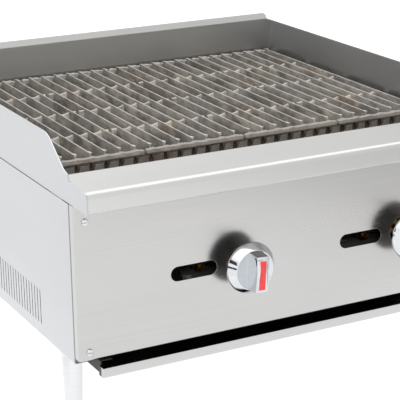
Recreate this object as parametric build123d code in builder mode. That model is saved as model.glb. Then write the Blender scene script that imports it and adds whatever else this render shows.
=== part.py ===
"""Two-burner countertop gas charbroiler, 24 inches wide, in millimetres.

Origin: on the ground, midway between the sides and midway from the knobs' faces to the gas inlet's
end. +Z is up and the controls face -Y. The body is folded stainless sheet on a steel base frame with
four screw-in legs. Inside are a firebox, two U-shaped burners with radiants over their legs, the gas
train and four cast grates, with a drip tray that slides on two runners below.
"""
import os
from math import cos, radians, sin

from build123d import *

os.makedirs("parts", exist_ok=True)

# ---- overall -------------------------------------------------------------------------------
HALF = 305.0            # half of the 610 mm width
FRONT = -290.0          # front face of the control panel
REAR = 322.0            # outer face of the rear panel
SHEET = 1.2             # casing and liner sheet
GUARD = 1.5             # splash guard sheet
LEG_HEIGHT = 100.0      # ground to the underside of the body
PANEL_LOW = 106.5       # bottom edge of the control panel
PANEL_HIGH = 313.5      # its top edge, level with the seam under the splash guards
GUARD_TOP = 390.3
GAP = 0.3               # clearance between pieces that move against each other

# ---- controls ------------------------------------------------------------------------------
MODULE_X = (-127.9, 127.9)      # middle of each burner's half of the firebox
KNOB_SHIFT = 56.6               # knob and mixer tube, right of the module's middle
SLOT_SHIFT = -12.3              # pilot lighting slot
CONTROL_Z = 200.1               # height of the knobs, valves, burners and slots
SLOT_LENGTH, SLOT_HEIGHT = 67.0, 20.0
KNOB_HOLE_R = 21.0
PIP_Z = CONTROL_Z + 43.4
PANEL_DEPTH = 12.0
SCREW_X, SCREW_LOW, SCREW_HIGH = 290.0, 117.7, 291.3
SCREW_R, SCREW_HOLE_R, SCREW_HEAD_R = 2.0, 2.1, 4.75

# ---- front ledge ---------------------------------------------------------------------------
LEDGE_FRONT = FRONT - 44.5
LEDGE_REAR = FRONT + 40.0
LEDGE_LOW = PANEL_HIGH + 1.0
LEDGE_TOP_FRONT, LEDGE_TOP_REAR = 341.9, 343.7
LEDGE_BEND = 7.0

# ---- firebox -------------------------------------------------------------------------------
FIREBOX_X = 262.0
FIREBOX_FRONT = FRONT + 124.0
FIREBOX_REAR = FRONT + 578.0
FIREBOX_LOW = 124.0
FLARE_LOW, FLARE_HIGH = 268.0, 306.0     # where the liners lean out to the guards
FRONT_WALL_TOP = 323.8                  # the grates' bars pass through notches in this edge
NOTCH_LOW, NOTCH_WIDTH = 315.2, 7.6
SPLASH_Y = FRONT + 590.0
FRONT_REST_TOP, REAR_REST_TOP = 315.7, 318.6
RADIANT_REST_TOP = 228.0

# ---- grates --------------------------------------------------------------------------------
GRATE_COUNT, BARS = 4, 7
BAR_PITCH, GRATE_PITCH = 21.2, 150.5
GRATE_WIDTH = GRATE_PITCH - 1.0
GRATE_FRONT, GRATE_REAR = FRONT + 115.7, FRONT + 581.0
GRATE_TILT = 0.38                       # degrees, so that grease runs to the front
BAR_LOW, BAR_TOP = FRONT_REST_TOP + GAP, 340.3
BAR_TOP_W, BAR_LOW_W = 3.4, 5.0
TOOTH_LOW, TOOTH_DEPTH = 320.6, 6.5
LIP_LOW, LIP_TOP, LIP_DEPTH = 328.3, 336.4, 8.0
RIB_Y = (FRONT + 228.0, FRONT + 341.0, FRONT + 453.0)

# ---- gas train -----------------------------------------------------------------------------
TUBE_R, TUBE_WALL = 16.0, 1.6           # burner tube
MANIFOLD_Y, MANIFOLD_Z = FRONT + 55.0, 170.0
PIPE_R, PIPE_BORE_R = 13.335, 10.5      # 3/4 inch pipe
INLET_THREAD, RELIEF, RELIEF_R = 26.0, 2.0, 12.8
SUPPLY_X = 283.0
INLET_END = FRONT + 640.0
PILOT_X_SHIFT = 13.9                    # pilot valve, right of the module's middle
PILOT_Z = CONTROL_Z + 12.0

# ---- knobs ---------------------------------------------------------------------------------
KNOB_BACK, KNOB_FACE = FRONT - 25.0, FRONT - 60.0
SKIRT_R, DISC_R = 35.0, 27.5
DISC_Y = FRONT - 38.5
STEM_R, STEM_BORE_R = 4.0, 4.05

# ---- tray, runners, legs and feet ----------------------------------------------------------
RUNNER_X = 273.8        # outer face of a runner's web
RUNNER_LOW, RUNNER_FRONT, RUNNER_REAR = 81.3, FRONT + 5.0, FRONT + 560.0
TRAY_LOW, TRAY_LIP_TOP = 82.9, 96.1
TRAY_LIP_X, TRAY_X = 277.0, 272.2
TRAY_FRONT, TRAY_REAR = FRONT - 11.0, FRONT + 556.0
LEG_X, LEG_FRONT_Y, LEG_REAR_Y = 289.4, FRONT + 63.7, FRONT + 545.0
LEG_LOW, FOOT_STEM_R, FOOT_BORE_R = 13.0, 6.0, 6.3
STUD_R, STUD_HOLE_R = 5.0, 5.2

SIDES = {"left": -1, "right": 1}
ENDS = {"front": LEG_FRONT_Y, "rear": LEG_REAR_Y}
PLACES = ("far_left", "mid_left", "mid_right", "far_right")


def save(piece, name):
    """Label a finished piece and write it to its own file."""
    piece.part.label = name
    export_step(piece.part, f"parts/{name}.step")


def slab(x, y, z, mode=Mode.ADD):
    """Add or cut a block between two limits along each axis, in the part being built."""
    (x0, x1), (y0, y1), (z0, z1) = sorted(x), sorted(y), sorted(z)
    with Locations(((x0 + x1) / 2, (y0 + y1) / 2, (z0 + z1) / 2)):
        Box(x1 - x0, y1 - y0, z1 - z0, mode=mode)


def rod(start, direction, radius, length, mode=Mode.ADD):
    """Add or cut a cylinder from a start point along a direction, in the part being built."""
    with BuildSketch(Plane(origin=start, z_dir=direction)) as disc:
        Circle(radius)
    extrude(disc.sketch, amount=length, mode=mode)


def folded_along_x(path, radius, half_length, thickness=SHEET):
    """Add a folded sheet whose (y, z) centre line is constant from one side to the other."""
    with BuildSketch(Plane.YZ.offset(-half_length)) as section:
        with BuildLine():
            FilletPolyline(*path, radius=radius)
        trace(line_width=thickness)
    extrude(section.sketch, amount=2 * half_length)


def folded_along_y(path, radius, y_from, y_to, thickness=SHEET):
    """Add a folded sheet whose (x, z) centre line is constant from front to back."""
    with BuildSketch(Plane.XZ.offset(-y_from)) as section:
        with BuildLine():
            FilletPolyline(*path, radius=radius)
        trace(line_width=thickness)
    extrude(section.sketch, amount=-(y_to - y_from))


# ---- casing --------------------------------------------------------------------------------
def make_front_panel():
    """Pan-shaped control panel with knob holes, lighting slots and a raised pip over each knob."""
    with BuildPart() as panel:
        slab((-HALF, HALF), (FRONT, FRONT + PANEL_DEPTH), (PANEL_LOW, PANEL_HIGH))
        fillet(panel.edges().group_by(Axis.Y)[0].filter_by(Axis.Z), radius=2.5)
        fillet(panel.edges().filter_by(Axis.X).group_by(Axis.Y)[0].sort_by(Axis.Z)[0], radius=2.0)
        offset(amount=-SHEET, openings=panel.faces().sort_by(Axis.Y)[-1])
        with BuildSketch(Plane.XZ.offset(-FRONT - SHEET)):
            for module in MODULE_X:
                with Locations((module + KNOB_SHIFT, CONTROL_Z)):
                    Circle(KNOB_HOLE_R)
                with Locations((module + SLOT_SHIFT, CONTROL_Z)):
                    SlotOverall(SLOT_LENGTH, SLOT_HEIGHT)
            for x in (-SCREW_X, SCREW_X):
                with Locations((x, SCREW_LOW), (x, SCREW_HIGH)):
                    Circle(SCREW_HOLE_R)
        extrude(amount=SHEET, mode=Mode.SUBTRACT)
        for module in MODULE_X:
            rod((module + KNOB_SHIFT, FRONT, PIP_Z), (0, -1, 0), 1.6, 0.6)
    save(panel, "front_panel")


def make_front_ledge():
    """Rounded landing ledge above the controls, closed down to the firebox behind."""
    half = SHEET / 2
    path = [
        (LEDGE_REAR - half, LEDGE_LOW - 3.4),
        (LEDGE_REAR - half, LEDGE_TOP_REAR - half),
        (LEDGE_FRONT + half, LEDGE_TOP_FRONT - half),
        (LEDGE_FRONT + half, LEDGE_LOW + half),
        (FRONT + PANEL_DEPTH, LEDGE_LOW + half),
    ]
    with BuildPart() as ledge:
        folded_along_x(path, [2.0, LEDGE_BEND - half, 2.0], HALF - GUARD)
    save(ledge, "front_ledge")


def make_splash_guard(name, side):
    """Side splash guard: one sheet, sloped down at the front to close the ledge's end."""
    slope = [
        (REAR + 2.0, GUARD_TOP),
        (FRONT + 75.5, GUARD_TOP),
        (FRONT + 26.0, GUARD_TOP - 35.4),
        (FRONT + 14.0, GUARD_TOP - 38.6),
    ]
    with BuildPart() as guard:
        with BuildSketch(Plane.YZ.offset(side * HALF)):
            with BuildLine():
                FilletPolyline(*slope, radius=[42.0, 20.0])
                Polyline(slope[-1], (FRONT + 10.0, LEDGE_TOP_FRONT + 1.2))
                FilletPolyline(
                    (FRONT + 10.0, LEDGE_TOP_FRONT + 1.2),
                    (LEDGE_FRONT, LEDGE_TOP_FRONT),
                    (LEDGE_FRONT, LEDGE_LOW),
                    radius=LEDGE_BEND,
                )
                Polyline((LEDGE_FRONT, LEDGE_LOW), (REAR + 2.0, LEDGE_LOW), slope[0])
            make_face()
        extrude(amount=-side * GUARD)
    save(guard, f"splash_guard_{name}")


def make_side_panel(name, side):
    """Lower side panel with a row of cooling slots, a front hem and a bottom flange."""
    hem_front = FRONT + PANEL_DEPTH + 1.2
    low, high = LEG_HEIGHT, PANEL_HIGH - 0.4
    outer = side * HALF
    with BuildPart() as panel:
        slab((outer, outer - side * 30.0), (hem_front, REAR + 2.0), (low, high))
        front_edge = panel.edges().filter_by(Axis.Z).group_by(Axis.Y)[0]
        fillet(front_edge.sort_by(Axis.X)[0 if side < 0 else -1], radius=3.0)
        slab(
            (outer - side * SHEET, outer - side * 31.0),
            (hem_front + SHEET, REAR + 3.0),
            (low + SHEET, high + 1.0),
            mode=Mode.SUBTRACT,
        )
        with Locations((side * SCREW_X, hem_front, SCREW_LOW), (side * SCREW_X, hem_front, SCREW_HIGH)):
            Cylinder(SCREW_HOLE_R, 10.0, rotation=(90, 0, 0), mode=Mode.SUBTRACT)
        with Locations((side * LEG_X, LEG_FRONT_Y, low), (side * LEG_X, LEG_REAR_Y, low)):
            Cylinder(STUD_HOLE_R, 10.0, mode=Mode.SUBTRACT)
        slots = [FRONT + 128.0 + 10.0 * i for i in range(40)]
        with BuildSketch(Plane.YZ.offset(outer)):
            with Locations(*[(y, LEG_HEIGHT + 39.4) for y in slots]):
                SlotOverall(48.6, 2.2, rotation=90)
        extrude(amount=-side * SHEET, mode=Mode.SUBTRACT)
    save(panel, f"side_panel_{name}")


def make_back_splash():
    """Back splash between the guards, with its top folded back and its ends folded forward."""
    low = 300.0
    fold = (SPLASH_Y + GUARD / 2, GUARD_TOP + 0.2)
    lean = radians(57.0)
    tip = (fold[0] + 10.8 * cos(lean), fold[1] + 10.8 * sin(lean) - 0.6)
    half_length = HALF - GUARD
    with BuildPart() as splash:
        folded_along_x([(SPLASH_Y + GUARD / 2, low), fold, tip], 1.5, half_length, GUARD)
        corners = splash.edges().filter_by(Axis.X, reverse=True).group_by(Axis.Z)[-1]
        fillet(corners, radius=6.0)
        for side in SIDES.values():
            slab(
                (side * half_length, side * (half_length - SHEET)),
                (SPLASH_Y - 8.0, SPLASH_Y),
                (LEDGE_LOW, GUARD_TOP - 1.0),
            )
    save(splash, "back_splash")


def make_rear_panel():
    """Rear panel: a shallow pan with vent slots, screw holes and the hole for the gas inlet."""
    low, high = LEG_HEIGHT + SHEET, 372.0
    half_width = HALF - GUARD
    with BuildPart() as panel:
        slab((-half_width, half_width), (REAR - 12.0, REAR), (low, high))
        slab(
            (-half_width + SHEET, half_width - SHEET),
            (REAR - 13.0, REAR - SHEET),
            (low - 1.0, high + 1.0),
            mode=Mode.SUBTRACT,
        )
        with BuildSketch(Plane.XZ.offset(-REAR)):
            with GridLocations(24.0, 90.0, 20, 2):
                with Locations((0, 232.0)):
                    SlotOverall(50.0, 4.0, rotation=90)
            with Locations((SUPPLY_X, MANIFOLD_Z)):
                Circle(PIPE_R + 1.5)
            with GridLocations(560.0, 240.0, 2, 2):
                with Locations((0, 240.0)):
                    Circle(SCREW_HOLE_R)
        extrude(amount=SHEET, mode=Mode.SUBTRACT)
    save(panel, "rear_panel")


def make_screws():
    """The casing's identical pan-head screws: four in the control panel, four at the rear."""
    front = [(x, FRONT, z) for x in (-SCREW_X, SCREW_X) for z in (SCREW_LOW, SCREW_HIGH)]
    rear = [(x, REAR, z) for x in (-280.0, 280.0) for z in (120.0, 360.0)]
    with BuildPart() as screws:
        for places, outward in ((front, -1), (rear, 1)):
            for x, y, z in places:
                with BuildSketch(Plane(origin=(x, y, z), z_dir=(0, outward, 0))):
                    Circle(SCREW_HEAD_R)
                extrude(amount=2.4)
                rod((x, y, z), (0, -outward, 0), SCREW_R, 16.0)
        rims = screws.edges().filter_by(GeomType.CIRCLE)
        fillet(rims.group_by(Axis.Y)[0] + rims.group_by(Axis.Y)[-1], radius=1.5)
        for places, outward in ((front, -1), (rear, 1)):
            for x, y, z in places:
                slot = (y + outward * 2.4, y + outward * 1.4)
                slab((x - 5, x + 5), slot, (z - 0.6, z + 0.6), Mode.SUBTRACT)
    save(screws, "casing_screws")


# ---- frame, firebox and supports -----------------------------------------------------------
def make_base_frame():
    """Welded base: two side rails that take the legs and two cross rails under the firebox."""
    rail_low, rail_high = LEG_HEIGHT + SHEET, LEG_HEIGHT + SHEET + 20.0
    with BuildPart() as base:
        for side in SIDES.values():
            slab((side * 303.0, side * 262.0), (FRONT + 30, REAR - 14.0), (rail_low, rail_high))
        for y in (FRONT + 108.0, FRONT + 548.0):
            slab((-262.0, 262.0), (y, y + 25.0), (rail_low, rail_high))
        for side in SIDES.values():
            slab(
                (side * 300.0, side * 261.0),
                (FRONT + 29.0, REAR - 13.0),
                (rail_low + 3.0, rail_high + 1.0),
                mode=Mode.SUBTRACT,
            )
            with Locations((side * LEG_X, LEG_FRONT_Y, rail_low), (side * LEG_X, LEG_REAR_Y, rail_low)):
                Cylinder(STUD_HOLE_R, 30.0, mode=Mode.SUBTRACT)
        for y in (FRONT + 108.0, FRONT + 548.0):
            slab((-263.0, 263.0), (y + 3.0, y + 26.0), (rail_low + 3.0, rail_high + 1.0), Mode.SUBTRACT)
    save(base, "base_frame")


def firebox_end_wall(y, top):
    """Add the firebox's front or rear wall: its sides lean out with the liners."""
    low_x, high_x = FIREBOX_X + SHEET, HALF - GUARD
    outline = [(low_x, FIREBOX_LOW), (low_x, FLARE_LOW), (high_x, FLARE_HIGH + 1.0), (high_x, top)]
    with BuildSketch(Plane.XZ.offset(-y)) as wall:
        with BuildLine():
            Polyline(*outline, *[(-x, z) for x, z in reversed(outline)], close=True)
        make_face()
    extrude(wall.sketch, amount=-SHEET)


def make_firebox():
    """Front and rear walls, two flared side liners and the rails that hold grates and radiants."""
    shelf_top = LEDGE_LOW - 3.4
    with BuildPart() as front_wall:
        firebox_end_wall(FIREBOX_FRONT, FRONT_WALL_TOP)
        shelf_y = (LEDGE_REAR - 4.0, FIREBOX_FRONT)
        slab((-HALF + GUARD, HALF - GUARD), shelf_y, (shelf_top - SHEET, shelf_top))
        for x in [middle + bar_shift(i) for middle in grate_positions() for i in range(BARS)]:
            notch = (x - NOTCH_WIDTH / 2, x + NOTCH_WIDTH / 2)
            sheet = (FIREBOX_FRONT - 1.0, FIREBOX_FRONT + SHEET + 1.0)
            slab(notch, sheet, (NOTCH_LOW, FRONT_WALL_TOP + 1.0), Mode.SUBTRACT)
        for module in MODULE_X:
            mixer = (module + KNOB_SHIFT, FIREBOX_FRONT - 1, CONTROL_Z)
            rod(mixer, (0, 1, 0), TUBE_R + 0.1, 4, Mode.SUBTRACT)
            rod((module, FIREBOX_FRONT - 1, PILOT_Z), (0, 1, 0), 3.2, 4, Mode.SUBTRACT)
    save(front_wall, "firebox_front_wall")

    rear_top = REAR_REST_TOP - 0.4
    with BuildPart() as rear_wall:
        firebox_end_wall(FIREBOX_REAR, rear_top)
        slab((-HALF + 3.0, HALF - 3.0), (FIREBOX_REAR, SPLASH_Y), (rear_top - SHEET, rear_top))
    save(rear_wall, "firebox_rear_wall")

    for name, side in SIDES.items():
        inner, outer = FIREBOX_X + SHEET / 2, HALF - GUARD - SHEET
        path = [
            (side * inner, FIREBOX_LOW),
            (side * inner, FLARE_LOW),
            (side * outer, FLARE_HIGH),
            (side * outer, PANEL_HIGH - 1.0),
        ]
        with BuildPart() as liner:
            folded_along_y(path, [6.0, 4.0], FIREBOX_FRONT + SHEET, FIREBOX_REAR)
        save(liner, f"firebox_liner_{name}")

    rests = {
        "front_grate_rest": (FIREBOX_FRONT + SHEET, 20.0, FRONT_REST_TOP),
        "rear_grate_rest": (FIREBOX_REAR - 20.0, 20.0, REAR_REST_TOP),
        "front_radiant_rest": (FIREBOX_FRONT + SHEET, 14.0, RADIANT_REST_TOP),
        "rear_radiant_rest": (FIREBOX_REAR - 14.0, 14.0, RADIANT_REST_TOP),
    }
    drop, plate = 11.5, 2.0
    for name, (y, depth, top) in rests.items():
        web_y = y if name.startswith("front") else y + depth - plate
        with BuildPart() as rest:
            slab((-FIREBOX_X, FIREBOX_X), (y, y + depth), (top - plate, top))
            slab((-FIREBOX_X, FIREBOX_X), (web_y, web_y + plate), (top - drop, top))
        save(rest, name)

    support_y = FIREBOX_REAR - 110.0
    with BuildPart() as support:
        slab((-FIREBOX_X, FIREBOX_X), (support_y, support_y + 2.0), (160.0, 192.0))
        slab((-FIREBOX_X, FIREBOX_X), (support_y, support_y + 20.0), (160.0, 162.0))
        for x in leg_positions():
            rod((x, support_y - 1.0, CONTROL_Z), (0, 1, 0), TUBE_R + 0.05, 4.0, Mode.SUBTRACT)
    save(support, "rear_burner_support")


def leg_positions():
    """X of the four burner legs, left to right."""
    return [module + shift for module in MODULE_X for shift in (-KNOB_SHIFT, KNOB_SHIFT)]


# ---- burners and gas train -----------------------------------------------------------------
def make_burner(name, module):
    """U-shaped tube burner: mixer mouth in front of the firebox, two legs and a bend at the back."""
    mouth, blind, bend = FRONT + 75.0, FIREBOX_FRONT + 24.0, FIREBOX_REAR - 24.0 - KNOB_SHIFT
    right, left = module + KNOB_SHIFT, module - KNOB_SHIFT
    with BuildPart() as burner:
        with BuildLine():
            run = Line((right, mouth, CONTROL_Z), (right, bend, CONTROL_Z))
            turn = TangentArc(run @ 1, (left, bend, CONTROL_Z), tangent=run % 1)
            Line(turn @ 1, (left, blind, CONTROL_Z))
        with BuildSketch(Plane(origin=(right, mouth, CONTROL_Z), z_dir=(0, 1, 0))):
            Circle(TUBE_R)
            Circle(TUBE_R - TUBE_WALL, mode=Mode.SUBTRACT)
        sweep()
        rod((left, blind - 2.0, CONTROL_Z), (0, 1, 0), TUBE_R, 2.0)
    save(burner, f"burner_{name}")

    with BuildPart() as shutter:
        start = (right, mouth + 3.0, CONTROL_Z)
        rod(start, (0, 1, 0), TUBE_R + 1.3, 20.0)
        rod(start, (0, 1, 0), TUBE_R + 0.08, 20.0, Mode.SUBTRACT)
        for angle in (0, 120, 240):
            across = (sin(radians(angle)), 0, cos(radians(angle)))
            rod((right, mouth + 13.0, CONTROL_Z), across, 4.0, 30.0, Mode.SUBTRACT)
    save(shutter, f"air_shutter_{name}")


def make_radiant(name, x):
    """Inverted-V radiant that covers one burner leg from front rest to rear rest."""
    rise, half_width, plate = 34.0, 47.0, 2.0
    base = RADIANT_REST_TOP + plate
    path = [(x - half_width, base), (x, base + rise), (x + half_width, base)]
    with BuildPart() as radiant:
        folded_along_y(path, 4.0, FIREBOX_FRONT + 4.0, FIREBOX_REAR - 4.0, plate)
        slab((x - 60, x + 60), (FIREBOX_FRONT, FIREBOX_REAR), (0, RADIANT_REST_TOP), Mode.SUBTRACT)
    save(radiant, f"radiant_{name}")


def make_gas_train():
    """Manifold along the front, elbow, supply pipe to the back, and the valves' holes."""
    left_end = MODULE_X[0] + PILOT_X_SHIFT - 22.0
    right_end = SUPPLY_X - 22.0
    valve_x = [module + KNOB_SHIFT for module in MODULE_X]
    pilot_x = [module + PILOT_X_SHIFT for module in MODULE_X]
    length, cap = right_end - left_end, 4.0
    with BuildPart() as manifold:
        rod((left_end, MANIFOLD_Y, MANIFOLD_Z), (1, 0, 0), PIPE_R, length)
        rod((left_end + cap, MANIFOLD_Y, MANIFOLD_Z), (1, 0, 0), PIPE_BORE_R, length, Mode.SUBTRACT)
        for x, radius in [(x, 8.05) for x in valve_x] + [(x, 5.05) for x in pilot_x]:
            rod((x, MANIFOLD_Y, MANIFOLD_Z), (0, 0, 1), radius, 20.0, Mode.SUBTRACT)
    save(manifold, "manifold_pipe")

    corner = (SUPPLY_X, MANIFOLD_Y, MANIFOLD_Z)
    reach, socket, bend = 22.0, 12.0, 19.0
    west = (corner[0] - reach - socket, corner[1], corner[2])
    north = (corner[0], corner[1] + reach + socket, corner[2])
    with BuildPart() as elbow:
        with BuildLine():
            FilletPolyline(west, corner, north, radius=bend)
        with BuildSketch(Plane(origin=west, z_dir=(1, 0, 0))):
            Circle(PIPE_R + 3.0)
            Circle(PIPE_BORE_R, mode=Mode.SUBTRACT)
        sweep()
        rod(west, (1, 0, 0), PIPE_R, socket, Mode.SUBTRACT)
        rod(north, (0, -1, 0), PIPE_R, socket, Mode.SUBTRACT)
    save(elbow, "supply_elbow")

    start = (SUPPLY_X, MANIFOLD_Y + reach, MANIFOLD_Z)
    thread_start = INLET_END - INLET_THREAD
    with BuildPart() as supply:
        rod(start, (0, 1, 0), RELIEF_R, INLET_END - start[1])
        rod(start, (0, 1, 0), PIPE_R, thread_start - RELIEF - start[1])
        rod((SUPPLY_X, thread_start, MANIFOLD_Z), (0, 1, 0), PIPE_R, INLET_THREAD)
        rod(start, (0, 1, 0), PIPE_BORE_R, INLET_END - start[1], Mode.SUBTRACT)
    save(supply, "supply_pipe")


def make_gas_valve(name, x):
    """Brass burner valve: barrel on the knob's axis, inlet in the manifold, orifice hood behind."""
    with BuildPart() as valve:
        rod((x, FRONT + 22.0, CONTROL_Z), (0, 1, 0), 9.0, 10.0)
        rod((x, FRONT + 30.0, CONTROL_Z), (0, 1, 0), 13.0, 34.0)
        rod((x, MANIFOLD_Y, MANIFOLD_Z + PIPE_BORE_R - 2.0), (0, 0, 1), 8.0, 22.0)
        with BuildSketch(Plane(origin=(x, FRONT + 64.0, CONTROL_Z), z_dir=(0, 1, 0))):
            RegularPolygon(9.0, 6)
        extrude(amount=8.0)
        rod((x, FRONT + 72.0, CONTROL_Z), (0, 1, 0), 5.5, 12.0)
        rod((x, FRONT + 21.0, CONTROL_Z), (0, 1, 0), STEM_BORE_R, 21.0, Mode.SUBTRACT)
        rod((x, FRONT + 70.0, CONTROL_Z), (0, 1, 0), 1.2, 20.0, Mode.SUBTRACT)
    save(valve, f"gas_valve_{name}")

    with BuildPart() as stem:
        rod((x, FRONT - 44.0, CONTROL_Z), (0, 1, 0), STEM_R, 44.0 + 36.0)
    save(stem, f"valve_stem_{name}")


def make_pilot(name, module):
    """Pilot valve on the manifold, its bent tube and the pilot burner between the burner's legs."""
    x = module + PILOT_X_SHIFT
    z = MANIFOLD_Z + 21.0
    with BuildPart() as valve:
        rod((x, MANIFOLD_Y, MANIFOLD_Z + PIPE_BORE_R - 2.0), (0, 0, 1), 5.0, 12.0)
        rod((x, FRONT + 40.0, z), (0, 1, 0), 7.0, 22.0)
        with BuildSketch(Plane(origin=(x, FRONT + 30.0, z), z_dir=(0, 1, 0))):
            RegularPolygon(6.5, 6)
        extrude(amount=10.0)
        rod((x, FRONT + 24.0, z), (0, 1, 0), 4.0, 6.0)
        slab((x - 5, x + 5), (FRONT + 23.0, FRONT + 25.2), (z - 0.6, z + 0.6), Mode.SUBTRACT)
        rod((x, FRONT + 56.0, z), (0, 0, 1), 5.0, 12.0)
    save(valve, f"pilot_valve_{name}")

    start = (x, FRONT + 56.0, z + 12.0)
    route = [
        start,
        (x, FRONT + 56.0, PILOT_Z + 12.0),
        (module, FRONT + 76.0, PILOT_Z),
        (module, FRONT + 128.0, PILOT_Z),
    ]
    with BuildPart() as tube:
        with BuildLine():
            FilletPolyline(*route, radius=[7.0, 12.0])
        with BuildSketch(Plane(origin=start, z_dir=(0, 0, 1))):
            Circle(3.0)
        sweep()
    save(tube, f"pilot_tube_{name}")

    with BuildPart() as pilot:
        rod((module, FRONT + 128.0, PILOT_Z), (0, 1, 0), 5.5, 14.0)
        with BuildSketch(Plane(origin=(module, FRONT + 142.0, PILOT_Z), z_dir=(0, 1, 0))):
            Circle(5.5)
        extrude(amount=8.0, taper=20)
    save(pilot, f"pilot_burner_{name}")


# ---- knobs ---------------------------------------------------------------------------------
def make_knob(name, x):
    """Skirted control knob with a bar grip, and the coloured insert in the grip's face."""
    skirt = [
        (0, KNOB_BACK),
        (SKIRT_R, KNOB_BACK),
        (SKIRT_R, KNOB_BACK - 2.5),
        (DISC_R, DISC_Y),
        (0, DISC_Y),
    ]
    grip_width, grip_base, grip_face = 18.0, 52.0, 47.0
    with BuildPart() as knob:
        with BuildSketch(Plane.XY):
            with BuildLine():
                Polyline(*skirt, close=True)
            make_face()
        revolve(axis=Axis.Y)
        with BuildSketch(Plane.XZ.offset(-DISC_Y - 1.0)):
            Rectangle(grip_width, grip_base)
        with BuildSketch(Plane.XZ.offset(-KNOB_FACE)):
            Rectangle(grip_width - 2.0, grip_face)
        loft()
        fillet(knob.edges().group_by(Axis.Y)[0], radius=1.5)
        slab((-9.5 / 2, 9.5 / 2), (KNOB_FACE, KNOB_FACE + 1.5), (-19.5, 19.5), Mode.SUBTRACT)
        rod((0, KNOB_BACK, 0), (0, 1, 0), 9.0, 9.0)
        rod((0, FRONT - 45.0, 0), (0, 1, 0), STEM_R, 40.0, Mode.SUBTRACT)
    placed = Pos(x, 0, CONTROL_Z) * knob.part
    placed.label = f"knob_{name}"
    export_step(placed, f"parts/knob_{name}.step")

    with BuildPart() as insert:
        slab(
            (x - 9.5 / 2, x + 9.5 / 2),
            (KNOB_FACE + 0.3, KNOB_FACE + 1.5),
            (CONTROL_Z - 19.5, CONTROL_Z + 19.5),
        )
    save(insert, f"knob_insert_{name}")


# ---- grates --------------------------------------------------------------------------------
def bar_shift(i):
    """X of one bar from its grate's middle."""
    return (i - (BARS - 1) / 2) * BAR_PITCH


def grate_positions():
    """X of the middle of each grate, left to right."""
    return [(i - (GRATE_COUNT - 1) / 2) * GRATE_PITCH for i in range(GRATE_COUNT)]


def make_grate(name, x):
    """Cast grate, falling a little to the front: seven bars, a lip, a back bar and low ribs."""
    bar_front, bar_rear = GRATE_FRONT + 0.5, GRATE_REAR - 1.0
    with BuildPart() as grate:
        with BuildSketch(Plane.XZ.offset(-bar_front)):
            for i in range(BARS):
                with BuildLine(Plane((x + bar_shift(i), 0))):
                    Polyline(
                        (-BAR_LOW_W / 2, BAR_LOW),
                        (BAR_LOW_W / 2, BAR_LOW),
                        (BAR_TOP_W / 2, BAR_TOP),
                        (-BAR_TOP_W / 2, BAR_TOP),
                        close=True,
                    )
                make_face()
        extrude(amount=-(bar_rear - bar_front))
        half = GRATE_WIDTH / 2
        lip_rear = GRATE_FRONT + LIP_DEPTH
        tooth_rear = bar_front + TOOTH_DEPTH
        dip_y, dip_z = (bar_front - 1, lip_rear + 3.5), (LIP_TOP - 0.5, BAR_TOP + 1)
        slab((x - half, x + half), (bar_front - 1, tooth_rear), (BAR_LOW - 1, TOOTH_LOW), Mode.SUBTRACT)
        slab((x - half, x + half), dip_y, dip_z, Mode.SUBTRACT)
        slab((x - half, x + half), (GRATE_FRONT, lip_rear), (LIP_LOW, LIP_TOP))
        slab((x - half, x + half), (GRATE_REAR - 8.0, GRATE_REAR), (BAR_TOP - 12.0, BAR_TOP - 3.0))
        for y in RIB_Y:
            slab((x - half, x + half), (y - 2.5, y + 2.5), (BAR_TOP - 16.0, BAR_TOP - 2.5))
    grate.part = grate.part.rotate(Axis((0, GRATE_FRONT, BAR_LOW), (1, 0, 0)), GRATE_TILT)
    save(grate, f"grate_{name}")


# ---- tray, runners, legs and feet ----------------------------------------------------------
def make_tray():
    """Shallow drip tray with a wider hollow lip at the front to pull it by."""
    lip_rear, pan_front = RUNNER_FRONT - 1.5, RUNNER_FRONT - 2.7
    with BuildPart() as tray:
        slab((-TRAY_LIP_X, TRAY_LIP_X), (TRAY_FRONT, lip_rear), (TRAY_LOW, TRAY_LIP_TOP))
        lip_low = tray.edges().filter_by(Axis.X).group_by(Axis.Z)[0].sort_by(Axis.Y)[0]
        fillet(lip_low, radius=2.5)
        slab((-TRAY_X, TRAY_X), (pan_front, TRAY_REAR), (TRAY_LOW, TRAY_LIP_TOP))
        pan_sides = tray.edges().filter_by(Axis.Y).group_by(Axis.Z)[0].group_by(Edge.length)[-1]
        fillet(pan_sides, radius=2.0)
        lip_x, pan_x = TRAY_LIP_X - SHEET, TRAY_X - SHEET
        floor, above = TRAY_LOW + SHEET, TRAY_LIP_TOP + 1.0
        slab((-lip_x, lip_x), (TRAY_FRONT + SHEET, pan_front), (floor, above), Mode.SUBTRACT)
        slab((-pan_x, pan_x), (pan_front - 1.0, TRAY_REAR - SHEET), (floor, above), Mode.SUBTRACT)
    save(tray, "drip_tray")


def make_runner(name, side):
    """Folded runner under one side rail: the tray slides on its lower flange."""
    half = SHEET / 2
    web = side * (RUNNER_X - half)
    inner = side * (RUNNER_X - 16.0)
    path = [
        (inner, LEG_HEIGHT + SHEET - half),
        (web, LEG_HEIGHT + SHEET - half),
        (web, RUNNER_LOW + half),
        (inner, RUNNER_LOW + half),
    ]
    with BuildPart() as runner:
        folded_along_y(path, 2.4, RUNNER_FRONT, RUNNER_REAR)
    save(runner, f"tray_runner_{name}")


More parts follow.
